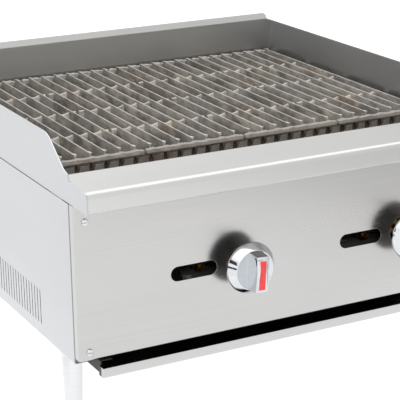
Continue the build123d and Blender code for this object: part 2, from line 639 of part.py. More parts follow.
def make_leg(name, x, y):
    """Tapered screw-in leg with a flared top, and the levelling foot in its lower end."""
    flare_low, neck_r, low_r = LEG_HEIGHT - 7.0, 13.7, 11.2
    with BuildPart() as leg:
        with BuildSketch(Plane.XZ):
            with BuildLine():
                Polyline(
                    (0, LEG_LOW + GAP),
                    (low_r, LEG_LOW + GAP),
                    (neck_r, flare_low),
                    (15.2, LEG_HEIGHT - 1.5),
                    (15.2, LEG_HEIGHT),
                    (STUD_R, LEG_HEIGHT),
                    (STUD_R, LEG_HEIGHT + 16.0),
                    (0, LEG_HEIGHT + 16.0),
                    close=True,
                )
            make_face()
        revolve(axis=Axis.Z)
        rod((0, 0, LEG_LOW), (0, 0, 1), FOOT_BORE_R, 55.0, Mode.SUBTRACT)
    placed = Pos(x, y, 0) * leg.part
    placed.label = f"leg_{name}"
    export_step(placed, f"parts/leg_{name}.step")

    with BuildPart() as foot:
        with BuildSketch(Plane.XZ):
            with BuildLine():
                Polyline((0, 0), (11.0, 0), (12.0, 2.0), (10.2, LEG_LOW), (FOOT_STEM_R, LEG_LOW))
                Polyline((FOOT_STEM_R, LEG_LOW), (FOOT_STEM_R, LEG_LOW + 45.0), (0, LEG_LOW + 45.0), (0, 0))
            make_face()
        revolve(axis=Axis.Z)
    placed = Pos(x, y, 0) * foot.part
    placed.label = f"foot_{name}"
    export_step(placed, f"parts/foot_{name}.step")


def main():
    make_front_panel()
    make_front_ledge()
    make_back_splash()
    make_rear_panel()
    make_screws()
    make_base_frame()
    make_firebox()
    make_gas_train()
    make_tray()
    for name, side in SIDES.items():
        make_splash_guard(name, side)
        make_side_panel(name, side)
        make_runner(name, side)
        for end, y in ENDS.items():
            make_leg(f"{end}_{name}", side * LEG_X, y)
    for name, module in zip(SIDES, MODULE_X):
        make_burner(name, module)
        make_gas_valve(name, module + KNOB_SHIFT)
        make_pilot(name, module)
        make_knob(name, module + KNOB_SHIFT)
    for name, x in zip(PLACES, leg_positions()):
        make_radiant(name, x)
    for name, x in zip(PLACES, grate_positions()):
        make_grate(name, x)


main()
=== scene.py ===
"""Looks for the two-burner countertop charbroiler: materials, cast grates, knobs, light and camera.

Everything is in metres in the frame's own axes: +Z is up and the controls face -Y.
"""
import math

import bmesh
import bpy
from mathutils import Matrix, Vector, noise


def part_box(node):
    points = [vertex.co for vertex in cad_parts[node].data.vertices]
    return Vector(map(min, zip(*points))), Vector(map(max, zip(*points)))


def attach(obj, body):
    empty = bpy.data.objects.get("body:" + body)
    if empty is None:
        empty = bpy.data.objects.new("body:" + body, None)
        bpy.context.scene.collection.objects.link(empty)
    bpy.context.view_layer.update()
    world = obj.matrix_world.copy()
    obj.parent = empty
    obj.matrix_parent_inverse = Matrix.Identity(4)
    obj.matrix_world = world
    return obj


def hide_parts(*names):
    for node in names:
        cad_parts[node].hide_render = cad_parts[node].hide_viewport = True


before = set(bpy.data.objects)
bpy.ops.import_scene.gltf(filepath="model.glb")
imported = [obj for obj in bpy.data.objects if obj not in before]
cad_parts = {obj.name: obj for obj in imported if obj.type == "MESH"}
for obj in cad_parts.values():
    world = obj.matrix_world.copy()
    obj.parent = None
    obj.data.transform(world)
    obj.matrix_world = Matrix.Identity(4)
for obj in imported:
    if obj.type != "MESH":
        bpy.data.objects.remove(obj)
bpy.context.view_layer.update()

MM = 0.001

# ---- camera: the viewing angle, its place and the framing ----------------------------------
CAMERA_AZIMUTH, CAMERA_ELEVATION, CAMERA_ROLL = -28.283, 16.699, -0.649
CAMERA_PLACE = Vector((-0.9836, -1.9739, 0.8904))
LENS, SENSOR = 139.15, 36.0
SHIFT_X, SHIFT_Y = -0.0894, -0.0564

# ---- cast grates ---------------------------------------------------------------------------
BARS = 7
BAR_PITCH, BAR_HEIGHT = 21.2 * MM, 24.3 * MM
BAR_TOP_HALF, BAR_LOW_HALF, BAR_END_HALF = 1.3 * MM, 2.5 * MM, 1.2 * MM
STATION = 6.0 * MM              # spacing of the rings along a bar
LIP_DEPTH, LIP_LOW, LIP_TOP = 8.0 * MM, 12.0 * MM, 3.9 * MM     # lip's low and top, below the bars
RIB_BACK = (118.3 * MM, 234.8 * MM, 351.8 * MM)                 # ribs, behind the lip's front
TOOTH_LOW = 19.7 * MM           # tooth tip, below the bars' tops
STUB_SHORT = 1.5 * MM           # gap between a stub's end and the grate's edge
GRATE_TILT = math.radians(0.38)         # the grates fall a little to the front
BAR_DIP = 5.0 * MM              # how far a bar drops behind the lip, and before the rear cross bar
NUB_BACK = 3.2 * MM             # from the lip's rear to a nub's face
CROSS_DEPTH = 8.0 * MM          # rear cross bar, front to back
CROSS_LOW, CROSS_TOP = 12.0 * MM, 3.0 * MM                      # its low and top, below the bars
LIP_BUMP, CROSS_DIP = 1.1 * MM, 1.2 * MM    # at each bar the lip rises and the cross bar dips
RIB_INTO_BAR = 1.0 * MM         # overlap that fuses a rib into its bars
TOOTH_BACK, TOOTH_INTO_LIP = 0.3 * MM, 1.5 * MM     # a tooth starts this far behind and inside the lip
CHAR_AND_SHADE_FOOT = 2.5 * MM           # height of the lip's lower edge that is charred and painted near black as shade

# ---- knobs ---------------------------------------------------------------------------------
KNOB_REST_TURN = math.radians(3.3)      # the grips stand a little off the vertical
GRIP_HALF_Z = 24.0 * MM
INSERT_DROP = Vector((0.0, 0.0, -1.2 * MM))
FACE_BEND = 2.6 * MM                    # the grip's face falls back this much at its two ends
RIM_BACK, DISC_BACK = 35.0 * MM, 21.5 * MM      # skirt's rear rim and the disc, behind the grip's face
NECK_RADIUS = 9.0 * MM

# ---- studio --------------------------------------------------------------------------------
KNOB_SPOT = Vector((0, -0.32, 0.2))     # where the dark cards face
LIGHT_AIM = (0, 0, 0.3)

# ---- the parts' places, as their names say them --------------------------------------------
PLACES = ("far_left", "mid_left", "mid_right", "far_right")
SIDES, ENDS = ("left", "right"), ("front", "rear")


# ---- node helpers --------------------------------------------------------------------------
class Look:
    """One material's node tree, with short calls for the nodes that these materials share."""

    def __init__(self, name, base, metallic, roughness, **sockets):
        self.material = bpy.data.materials.new(name)
        self.material.use_nodes = True
        self.tree = self.material.node_tree
        self.shader = next(n for n in self.tree.nodes if n.type == "BSDF_PRINCIPLED")
        self.coords = self.add("ShaderNodeTexCoord").outputs["Object"]
        self.set(self.shader, "Base Color", (*base, 1.0))
        self.set(self.shader, "Metallic", metallic)
        self.set(self.shader, "Roughness", roughness)
        for socket, value in sockets.items():
            self.set(self.shader, socket.replace("_", " "), value)

    def add(self, kind, **properties):
        """A new node with its properties set."""
        made = self.tree.nodes.new(kind)
        for key, value in properties.items():
            setattr(made, key, value)
        return made

    def set(self, target, socket, value):
        """Link another node's output to a socket, or give it a plain value."""
        if isinstance(value, bpy.types.NodeSocket):
            self.tree.links.new(value, target.inputs[socket])
        else:
            target.inputs[socket].default_value = value

    def noise(self, scale, stretch=(1, 1, 1), detail=3.0, rough=0.55, shift=(0, 0, 0), turn=0.0):
        """Fractal noise with `scale` features per metre, divided along each axis by `stretch`."""
        mapping = self.add("ShaderNodeMapping")
        self.set(mapping, "Vector", self.coords)
        self.set(mapping, "Rotation", (0.0, turn, 0.0))
        self.set(mapping, "Scale", [1.0 / s for s in stretch])
        self.set(mapping, "Location", shift)
        field = self.add("ShaderNodeTexNoise")
        self.set(field, "Vector", mapping.outputs[0])
        self.set(field, "Scale", scale)
        self.set(field, "Detail", detail)
        self.set(field, "Roughness", rough)
        return field.outputs["Fac"]

    def ramp(self, value, *stops):
        """Colour ramp through (position, colour) stops."""
        made = self.add("ShaderNodeValToRGB")
        elements = made.color_ramp.elements
        while len(elements) < len(stops):
            elements.new(0.5)
        for element, (position, colour) in zip(elements, stops):
            element.position = position
            element.color = (*colour, 1.0)
        self.set(made, "Fac", value)
        return made.outputs["Color"]

    def range(self, value, low, high, to_low=0.0, to_high=1.0):
        """Map a value smoothly from one range to another, clamped."""
        made = self.add("ShaderNodeMapRange", interpolation_type="SMOOTHSTEP")
        for socket, number in zip(("Value", "From Min", "From Max", "To Min", "To Max"),
                                  (value, low, high, to_low, to_high)):
            self.set(made, socket, number)
        return made.outputs["Result"]

    def math(self, operation, a, b):
        """Combine two numbers, each a socket or a plain value."""
        made = self.add("ShaderNodeMath", operation=operation)
        self.set(made, 0, a)
        self.set(made, 1, b)
        return made.outputs[0]

    def mix(self, factor, a, b, blend="MIX"):
        """Mix two colours, each a socket or an (r, g, b)."""
        made = self.add("ShaderNodeMix", data_type="RGBA", blend_type=blend)
        colours = [s for s in made.inputs if s.type == "RGBA"]
        for socket, value in zip((made.inputs[0], colours[0], colours[1]), (factor, a, b)):
            if isinstance(value, bpy.types.NodeSocket):
                self.tree.links.new(value, socket)
            else:
                socket.default_value = value if isinstance(value, float) else (*value, 1.0)
        return next(s for s in made.outputs if s.type == "RGBA")

    def axis(self, letter):
        """One of the object coordinates."""
        parts = self.add("ShaderNodeSeparateXYZ")
        self.set(parts, 0, self.coords)
        return parts.outputs["XYZ".index(letter)]

    def facing(self, letter):
        """One component of the surface's own direction."""
        parts = self.add("ShaderNodeSeparateXYZ")
        self.set(parts, 0, self.add("ShaderNodeNewGeometry").outputs["Normal"])
        return parts.outputs["XYZ".index(letter)]

    def bump(self, height, distance, strength=1.0, normal=None):
        """Relief from a height field, on top of an earlier normal if one is given."""
        made = self.add("ShaderNodeBump")
        self.set(made, "Height", height)
        self.set(made, "Distance", distance)
        self.set(made, "Strength", strength)
        if normal is not None:
            self.set(made, "Normal", normal)
        return made.outputs[0]

    def soft_edges(self, radius):
        """Shading normals rounded over sharp edges, as on folded and deburred sheet."""
        made = self.add("ShaderNodeBevel", samples=4)
        self.set(made, "Radius", radius)
        return made.outputs[0]


# ---- materials -----------------------------------------------------------------------------
def brushed_steel(name, grain, base=(0.60, 0.60, 0.595), roughness=0.26, streaks=None, seams=None,
                  edge=0.6 * MM, inside=None, face=None):
    """Stainless sheet with its brushing along one axis, faint smears and uneven gloss.

    streaks: (low, high) heights between which painted beige reflection streaks fade in; seams: (axis,
    start, width) of a painted shadow line along the gap at a joint; edge: rounding of folds; inside: the
    Y behind which it is painted near black as shade; face: a lighter colour for its front, as painted
    light.
    """
    look = Look(name, base, 1.0, roughness)
    lines = look.noise(900.0, [400.0 if letter == grain else 1.0 for letter in "XYZ"], detail=1.0)
    smears = look.noise(7.0, [2.5 if letter == grain else 1.0 for letter in "XYZ"], detail=2.0)
    darker = tuple(c * 0.965 for c in base)
    lighter = tuple(min(1.0, c * 1.02) for c in base)
    colour = look.ramp(smears, (0.3, darker), (0.7, lighter))
    fine = look.ramp(lines, (0.3, (0.96, 0.96, 0.96)), (0.7, (1.0, 1.0, 1.0)))
    colour = look.mix(1.0, colour, fine, "MULTIPLY")
    if streaks:
        # painted reflection: beige streaks fade in between the given heights
        painted_reflection_noise = look.noise(7.5, (4.5, 1.0, 1.0), detail=4.0, shift=(0.3, 0.0, 0.45), turn=-0.3)
        reflection_band = look.range(look.axis("Z"), *streaks)
        amount = look.math("MULTIPLY", look.range(painted_reflection_noise, 0.46, 0.60), reflection_band)
        colour = look.mix(look.math("MULTIPLY", amount, 0.6), colour, (0.665, 0.615, 0.575))
    if seams:
        # painted shadow: a dark line along the gap at the joint
        letter, line, width = seams
        shade = look.range(look.axis(letter), line, line + width, 1.0, 0.0)
        colour = look.mix(look.math("MULTIPLY", shade, 0.9), colour, (0.10, 0.10, 0.10))
    if face:
        # painted light: faces turned to the front get a lighter colour
        colour = look.mix(look.range(look.facing("Y"), -0.6, -0.05, 1.0, 0.0), colour, face)
    if inside:
        # painted shade: near black behind the given Y
        painted_shade_inside = look.range(look.axis("Y"), inside, inside + 2.0 * MM)
        colour = look.mix(painted_shade_inside, colour, (0.05, 0.05, 0.05))
    look.set(look.shader, "Base Color", colour)
    gloss = look.math("ADD", look.range(lines, 0.3, 0.7, roughness - 0.015, roughness + 0.015),
                      look.range(smears, 0.35, 0.75, -0.01, 0.02))
    look.set(look.shader, "Roughness", gloss)
    edges = look.soft_edges(edge)
    look.set(look.shader, "Normal", look.bump(lines, 0.00001, 0.08, edges))
    return look.material


def dull_sheet(name, base, roughness=0.45, tint=(0.42, 0.36, 0.30), reach=0.35):
    """Galvanised or heat-dulled inner sheet: mottled, a little stained."""
    look = Look(name, base, 0.9, roughness)
    spangle = look.noise(70.0, detail=2.0)
    stain = look.noise(12.0, (1.0, 2.0, 1.0), detail=5.0, rough=0.65)
    colour = look.ramp(spangle, (0.35, tuple(c * 0.86 for c in base)), (0.65, base))
    colour = look.mix(look.range(stain, 0.5, 0.72, 0.0, reach), colour, tint)
    look.set(look.shader, "Base Color", colour)
    look.set(look.shader, "Roughness", look.range(stain, 0.3, 0.7, roughness - 0.06, roughness + 0.14))
    look.set(look.shader, "Normal", look.bump(look.noise(220.0), 0.00008, 0.5))
    return look.material


def cast_iron(name, foot, lip_rear):
    """Bare grey-brown cast iron: sandy skin, lighter upward faces, rust and soot; painted shade on faces
    turned left and painted light on faces turned to the front; teeth and the lip's foot charred and
    painted near black as shade.

    foot: the height below which the front is charred and painted near black as shade; lip_rear: the Y
    where that front ends.
    """
    look = Look(name, (0.30, 0.28, 0.255), 0.1, 0.66)
    sand = look.noise(620.0, detail=3.0, rough=0.6)
    grit = look.noise(1500.0, detail=1.0)
    cloud = look.noise(46.0, (1.0, 1.6, 0.8), detail=4.0, rough=0.65)
    broad = look.noise(11.0, detail=2.0, shift=(1.3, 0.2, 0.0))
    rust = look.noise(26.0, (1.0, 2.4, 1.0), detail=5.0, rough=0.7, shift=(4.1, 2.7, 0.9))
    colour = look.ramp(cloud, (0.38, (0.135, 0.118, 0.100)), (0.46, (0.26, 0.247, 0.227)),
                       (0.54, (0.33, 0.315, 0.288)), (0.63, (0.47, 0.43, 0.355)))
    colour = look.mix(look.range(broad, 0.42, 0.65, 0.0, 0.45), colour, (0.285, 0.282, 0.276))
    speckle = look.ramp(sand, (0.3, (0.62, 0.62, 0.62)), (0.62, (1.12, 1.10, 1.07)))
    colour = look.mix(1.0, colour, speckle, "MULTIPLY")
    colour = look.mix(look.range(rust, 0.58, 0.66, 0.0, 0.75), colour, (0.20, 0.115, 0.065))
    soot = look.noise(15.0, (1.0, 2.0, 1.0), detail=3.0, rough=0.6, shift=(7.7, 1.1, 3.0))
    colour = look.mix(look.range(soot, 0.57, 0.66, 0.0, 0.65), colour, (0.085, 0.075, 0.062))
    # upward faces are made lighter, in patches that follow the cloud noise
    top_lightening = look.math("MULTIPLY", look.range(look.facing("Z"), 0.55, 0.9),
                     look.range(cloud, 0.25, 0.6, 0.65, 1.0))
    colour = look.mix(top_lightening, colour, (0.42, 0.395, 0.365))
    # painted shade: faces turned left are darkened
    left_face_shade = look.range(look.facing("X"), -0.7, -0.3, 1.0, 0.0)
    colour = look.mix(look.math("MULTIPLY", left_face_shade, 0.30), colour, (0.10, 0.09, 0.08))
    # painted light: faces turned to the front are lightened
    front_face_light = look.range(look.facing("Y"), -0.9, -0.6, 1.0, 0.0)
    colour = look.mix(look.math("MULTIPLY", front_face_light, 0.25), colour, (0.48, 0.46, 0.43))
    # char and painted shade: teeth and the lip's lower edge go near black, charred and in shade under
    # the lip; faces turned left go black as painted shade
    char_and_shade = look.ramp(rust, (0.40, (0.022, 0.016, 0.012)), (0.62, (0.060, 0.034, 0.020)))
    char_and_shade = look.mix(left_face_shade, char_and_shade, (0.006, 0.005, 0.004))
    at_lip = look.range(look.axis("Y"), lip_rear, lip_rear + 1.5 * MM, 1.0, 0.0)
    colour = look.mix(look.math("MULTIPLY", at_lip, 0.5), colour, (0.135, 0.118, 0.10))
    below = look.range(look.axis("Z"), foot - 1.0 * MM, foot + 1.2 * MM, 0.95, 0.0)
    colour = look.mix(look.math("MULTIPLY", below, at_lip), colour, char_and_shade)
    look.set(look.shader, "Base Color", colour)
    look.set(look.shader, "Roughness", look.range(sand, 0.3, 0.7, 0.55, 0.8))
    rough_skin = look.bump(sand, 0.0009, 0.75)
    look.set(look.shader, "Normal", look.bump(grit, 0.0002, 0.4, rough_skin))
    return look.material


def chrome(name, base=(0.70, 0.72, 0.745), roughness=0.05):
    """Bright plating, faintly wavy as the die-cast part beneath; a painted dark reflection on its top
    and painted shade on its back.
    """
    look = Look(name, base, 1.0, roughness)
    haze = look.noise(160.0, detail=3.0)
    colour = look.ramp(haze, (0.3, tuple(c * 0.96 for c in base)), (0.7, base))
    # painted reflection: upward faces are darkened, as if mirroring a dark room
    painted_dark_top = look.range(look.facing("Z"), 0.86, 0.98, 0.0, 0.8)
    colour = look.mix(painted_dark_top, colour, (0.12, 0.11, 0.095))
    # painted shade: faces turned to the back are darkened, so the panel mirrors a dark back of the knob
    behind = look.range(look.facing("Y"), 0.05, 0.35)
    look.set(look.shader, "Base Color", look.mix(behind, colour, (0.10, 0.095, 0.09)))
    look.set(look.shader, "Roughness", look.range(haze, 0.4, 0.8, roughness, roughness + 0.05))
    look.set(look.shader, "Normal", look.bump(look.noise(45.0, detail=1.0), 0.0004, 0.18))
    return look.material


def plated_leg(name):
    """Satin nickel leg with turning marks around it, a bright, slightly cold colour and a painted dark
    reflection down the side that faces +X.
    """
    look = Look(name, (0.72, 0.745, 0.77), 1.0, 0.16)
    rings = look.noise(520.0, (30.0, 30.0, 1.0), detail=2.0)
    colour = look.ramp(rings, (0.3, (0.70, 0.715, 0.73)), (0.7, (0.76, 0.775, 0.79)))
    # painted reflection: the faces turned to +X are darkened to a cold dark strip
    away = look.range(look.facing("X"), 0.80, 0.90, 0.0, 0.75)
    look.set(look.shader, "Base Color", look.mix(away, colour, (0.16, 0.19, 0.23)))
    look.set(look.shader, "Roughness", look.range(rings, 0.3, 0.7, 0.13, 0.22))
    look.set(look.shader, "Normal", look.bump(rings, 0.00003, 0.5))
    return look.material


def brass(name):
    """Turned brass with tarnish in broad patches."""
    look = Look(name, (0.40, 0.25, 0.09), 1.0, 0.28)
    tarnish = look.noise(90.0, detail=4.0, rough=0.6)
    look.set(look.shader, "Base Color", look.ramp(tarnish, (0.35, (0.40, 0.25, 0.09)),
                                                  (0.75, (0.16, 0.09, 0.04))))
    look.set(look.shader, "Roughness", look.range(tarnish, 0.3, 0.8, 0.22, 0.5))
    look.set(look.shader, "Normal", look.bump(look.noise(600.0, (1, 20, 1)), 0.00004, 0.5))
    return look.material


def dark_pipe(name):
    """Black iron gas pipe: thin oxide over steel, scuffed where it was gripped."""
    look = Look(name, (0.055, 0.053, 0.050), 0.5, 0.48)
    scuff = look.noise(120.0, (4.0, 1.0, 1.0), detail=5.0, rough=0.7)
    look.set(look.shader, "Base Color", look.ramp(scuff, (0.55, (0.05, 0.048, 0.046)),
                                                  (0.72, (0.30, 0.285, 0.27))))
    look.set(look.shader, "Roughness", look.range(scuff, 0.4, 0.7, 0.42, 0.62))
    look.set(look.shader, "Normal", look.bump(look.noise(400.0), 0.0001, 0.5))
    return look.material


def scorched(name, base, tint):
    """Steel that has been in the flames: blued and browned in drifting bands, scaly."""
    look = Look(name, base, 0.7, 0.5)
    bands = look.noise(14.0, (1.0, 2.0, 1.0), detail=4.0, rough=0.6)
    scale = look.noise(240.0, detail=4.0, rough=0.65)
    colour = look.ramp(bands, (0.3, base), (0.52, tint), (0.72, tuple(0.5 * c for c in base)))
    flakes = look.ramp(scale, (0.35, (0.7, 0.7, 0.7)), (0.65, (1.05, 1.05, 1.05)))
    look.set(look.shader, "Base Color", look.mix(1.0, colour, flakes, "MULTIPLY"))
    look.set(look.shader, "Roughness", look.range(scale, 0.3, 0.7, 0.42, 0.68))
    look.set(look.shader, "Normal", look.bump(scale, 0.0003, 0.5))
    return look.material


def red_plastic(name):
    """Glossy red moulded insert with a fine moulding texture."""
    look = Look(name, (0.62, 0.025, 0.028), 0.0, 0.32, Coat_Weight=0.3, Coat_Roughness=0.12)
    tone = look.noise(140.0, detail=3.0)
    look.set(look.shader, "Base Color", look.ramp(tone, (0.3, (0.58, 0.020, 0.024)),
                                                  (0.7, (0.67, 0.035, 0.036))))
    look.set(look.shader, "Normal", look.bump(look.noise(1400.0), 0.00005, 0.4))
    return look.material


def paint_nodes(material, *names):
    """Give CAD nodes a better material."""
    for name in names:
        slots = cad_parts[name].data.materials
        slots.clear()
        slots.append(material)


def both(name):
    """The names of a pair of nodes."""
    return [f"{name}_left", f"{name}_right"]


# ---- mesh helpers --------------------------------------------------------------------------
def loft(mesh, rings):
    """Skin equal rings of points into a tube, with a cap at each end."""
    made = [[mesh.verts.new(p) for p in ring] for ring in rings]
    count = len(made[0])
    for ring, after in zip(made, made[1:]):
        for i in range(count):
            j = (i + 1) % count
            mesh.faces.new((ring[i], ring[j], after[j], after[i]))
    mesh.faces.new(reversed(made[0]))
    mesh.faces.new(made[-1])


def finish_mesh(mesh, name, smooth_angle=40.0):
    """Turn a bmesh into mesh data with outward faces, smooth except over sharp edges."""
    bmesh.ops.recalc_face_normals(mesh, faces=mesh.faces)
    for face in mesh.faces:
        face.smooth = True
    for edge in mesh.edges:
        if len(edge.link_faces) == 2:
            edge.smooth = edge.calc_face_angle() < math.radians(smooth_angle)
    data = bpy.data.meshes.new(name)
    mesh.to_mesh(data)
    mesh.free()
    return data


def place(data, name, body, slot, material, *replaced):
    """Add finished mesh data as a piece that rides on a body and stands for CAD nodes."""
    piece = bpy.data.objects.new(name, data)
    bpy.context.scene.collection.objects.link(piece)
    piece.data.materials.append(material)
    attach(piece, body)
    if replaced:
        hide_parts(*replaced)
    return piece


def wander(point, size, amount, seed):
    """A smooth pseudo-random push for one point: the same on every run."""
    return noise.noise_vector((point + Vector((seed, 0, 0))) / size) * amount


# ---- cast grates ---------------------------------------------------------------------------
def bar_ring(x, y, low, top, top_half, low_half, seed):
    """One section across a bar: a tapered web with a rounded top."""
    height = top - low
    outline = [(-low_half, 0), (low_half, 0), (low_half * 0.92 + top_half * 0.08, 0.3 * height),
               (0.5 * (low_half + top_half), 0.62 * height), (top_half * 1.04, height - 1.6 * MM),
               (top_half * 0.88, height - 0.6 * MM), (top_half * 0.45, height - 0.1 * MM)]
    outline += [(-across, up) for across, up in reversed(outline[2:])]
    ring = []
    for across, up in outline:
        point = Vector((x + across, y, low + up))
        push = wander(point, 5.0 * MM, 0.22 * MM, seed) + wander(point, 16.0 * MM, 0.22 * MM, seed)
        ring.append(point + Vector((push.x, 0, push.z * 0.6)))
    return ring


def add_bar(mesh, x, front, rear, low, top, seed):
    """One bar: thin and dipped just behind the lip at each end, plain between, with two nubs."""
    dip = top - BAR_DIP
    end_shape = [(0.0, dip, BAR_END_HALF), (3.4 * MM, dip, BAR_END_HALF),
                 (4.4 * MM, top - 0.4 * MM, BAR_END_HALF), (6.0 * MM, top, BAR_TOP_HALF),
                 (14.0 * MM, top - 0.2 * MM, BAR_TOP_HALF)]
    start, end = front + LIP_DEPTH, rear - CROSS_DEPTH
    stations = [(start - 1.0 * MM, dip, BAR_END_HALF)]
    stations += [(start + s, z, half) for s, z, half in end_shape]
    inner_start, inner_end = start + end_shape[-1][0] + STATION, end - end_shape[-1][0] - STATION
    count = round((inner_end - inner_start) / STATION)
    for i in range(count + 1):
        y = inner_start + (inner_end - inner_start) * i / count
        stations.append((y, top - 0.2 * MM, BAR_TOP_HALF))
    stations += [(end - s, z, half) for s, z, half in reversed(end_shape)]
    stations.append((end + 5.0 * MM, dip, BAR_END_HALF))
    loft(mesh, [bar_ring(x, y, low, z, half, BAR_LOW_HALF, seed) for y, z, half in stations])
    add_nub(mesh, x, start + NUB_BACK, 1, top, seed)
    add_nub(mesh, x, end - NUB_BACK, -1, top, seed)


def add_nub(mesh, x, tip, inward, top, seed):
    """The wedge at a bar's end: flat on top, pointed below, fading into the bar behind it."""
    rings = []
    for back, half, depth in ((0.0, 2.4, 4.0), (0.5, 2.7, 4.6), (4.0, 2.3, 4.0), (8.0, 1.2, 2.0)):
        y = tip + inward * back * MM
        outline = [(-half, 0.1), (-0.8 * half, -0.35 * depth), (0.0, -depth),
                   (0.8 * half, -0.35 * depth), (half, 0.1)]
        ring = [Vector((x + across * MM, y, top + up * MM)) for across, up in outline]
        rings.append([p + wander(p, 3.0 * MM, 0.25 * MM, seed) for p in ring])
    loft(mesh, rings)


def add_rib(mesh, x0, x1, y, top, seed):
    """A flat-topped rib between two bars, below their tops and swollen and higher at each end."""
    steps, rings = 10, []
    for i in range(steps + 1):
        t = i / steps
        rise = (2 * t - 1) ** 2
        x = x0 + (x1 - x0) * t
        high, low = top - (6.0 - 2.6 * rise) * MM, top - 18.0 * MM
        half = (2.4 + 0.7 * rise) * MM
        ring = [(x, y - half, low), (x, y - half, high - 0.7 * MM), (x, y - half + 0.7 * MM, high),
                (x, y + half - 0.7 * MM, high), (x, y + half, high - 0.7 * MM), (x, y + half, low)]
        rings.append([Vector(p) + wander(Vector(p), 7.0 * MM, 0.25 * MM, seed) for p in ring])
    loft(mesh, rings)


def add_stub(mesh, x, direction, y, top, reach, seed):
    """Half a rib on a grate's outer edge, ending in a rounded lug."""
    rings = []
    for t, sink, half in ((0, 2.6, 3.0), (0.35, 3.6, 2.9), (0.7, 3.6, 2.9),
                          (0.92, 3.4, 2.6), (1.0, 4.4, 1.8)):
        at = x + direction * reach * t
        high, low, wide = top - sink * MM, top - (14.0 - 2.0 * t) * MM, half * MM
        ring = [(at, y - wide, low), (at, y - wide, high - 0.8 * MM), (at, y - wide * 0.6, high),
                (at, y + wide * 0.6, high), (at, y + wide, high - 0.8 * MM), (at, y + wide, low)]
        rings.append([Vector(p) + wander(Vector(p), 6 * MM, 0.3 * MM, seed) for p in ring])
    loft(mesh, rings)


def add_cross_bar(mesh, low_corner, high_corner, bar_x, dip, seed):
    """Uneven cast bar from side to side with rounded ends; its top sinks by `dip` at each bar."""
    x0, x1 = low_corner.x, high_corner.x
    middle_y, half_y = (low_corner.y + high_corner.y) / 2, (high_corner.y - low_corner.y) / 2
    middle_z, half_z = (low_corner.z + high_corner.z) / 2, (high_corner.z - low_corner.z) / 2
    steps, sides, end = 110, 14, 5.0 * MM
    rings = []
    for i in range(steps + 1):
        x = x0 + (x1 - x0) * i / steps
        from_end = min(x - x0, x1 - x)
        shrink = 1.0 if from_end >= end else 0.45 + 0.55 * math.sqrt(1 - (1 - from_end / end) ** 2)
        near = min(abs(x - b) for b in bar_x)
        notch = dip * max(0.0, 1 - (near / (4.5 * MM)) ** 2)
        ring = []
        for k in range(sides):
            angle = 2 * math.pi * (k + 0.5) / sides
            c, s = math.cos(angle), math.sin(angle)
            squared = 1.0 / max(abs(c), abs(s)) ** 0.88
            point = Vector((x, middle_y + c * squared * half_y * shrink,
                            middle_z + s * squared * half_z * shrink))
            if s > 0:
                point.z -= notch * s
            push = wander(point, 9 * MM, 0.55 * MM, seed) + wander(point, 3.5 * MM, 0.22 * MM, seed)
            ring.append(point + Vector((0, push.y, push.z)))
        rings.append(ring)
    loft(mesh, rings)


def add_tooth(mesh, x, front, low, top, seed):
    """A pointed tooth that hangs below the lip: wide and deep at the root, small at the tip."""
    rings = []
    for t in (0.0, 0.3, 0.6, 0.85, 1.0):
        half = (2.7 - 2.1 * t ** 1.6) * MM
        z = top + (low - top) * t
        back = front + (7.0 - 4.5 * t) * MM
        ring = [(x - half, front, z), (x + half, front, z), (x + half, back, z), (x - half, back, z)]
        rings.append([Vector(p) + wander(Vector(p), 4 * MM, 0.3 * MM, seed) for p in ring])
    loft(mesh, rings)


def make_grate(place_name, material, seed):
    """A whole cast grate in the space of its CAD node: built level, then tilted as it lies."""
    node = f"grate_{place_name}"
    low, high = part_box(node)
    top = low.z + BAR_HEIGHT
    bar_x = [(low.x + high.x) / 2 + (i - (BARS - 1) / 2) * BAR_PITCH for i in range(BARS)]
    mesh = bmesh.new()
    for i, x in enumerate(bar_x):
        add_bar(mesh, x, low.y, high.y, low.z, top, seed + i)
        add_tooth(mesh, x, low.y + TOOTH_BACK, top - TOOTH_LOW, top - LIP_LOW + TOOTH_INTO_LIP, seed + i)
    for y in (low.y + back for back in RIB_BACK):
        for x0, x1 in zip(bar_x, bar_x[1:]):
            add_rib(mesh, x0 + RIB_INTO_BAR, x1 - RIB_INTO_BAR, y, top, seed)
        add_stub(mesh, bar_x[0], -1, y, top, bar_x[0] - low.x - STUB_SHORT, seed)
        add_stub(mesh, bar_x[-1], 1, y, top, high.x - bar_x[-1] - STUB_SHORT, seed)
    lip_low = Vector((low.x, low.y, top - LIP_LOW))
    lip_high = Vector((high.x, low.y + LIP_DEPTH, top - LIP_TOP))
    add_cross_bar(mesh, lip_low, lip_high, bar_x, -LIP_BUMP, seed)
    rear_low = Vector((low.x, high.y - CROSS_DEPTH, top - CROSS_LOW))
    rear_high = Vector((high.x, high.y, top - CROSS_TOP))
    add_cross_bar(mesh, rear_low, rear_high, bar_x, CROSS_DIP, seed + 3)
    data = finish_mesh(mesh, f"cast_grate_{place_name}", 50.0)
    foot = Matrix.Translation((0, low.y, low.z))
    data.transform(foot @ Matrix.Rotation(GRATE_TILT, 4, "X") @ foot.inverted())
    place(data, f"cast_grate_{place_name}", f"{place_name}_grate", "cast_iron", material, node)


# ---- knobs ---------------------------------------------------------------------------------
def revolve_y(mesh, outline, sides=96):
    """Turn (radius, y) points about the Y axis into rings, closed at both ends."""
    rings = []
    for radius, y in outline:
        rings.append([(radius * math.cos(2 * math.pi * k / sides), y,
                       radius * math.sin(2 * math.pi * k / sides)) for k in range(sides)])
    loft(mesh, rings)


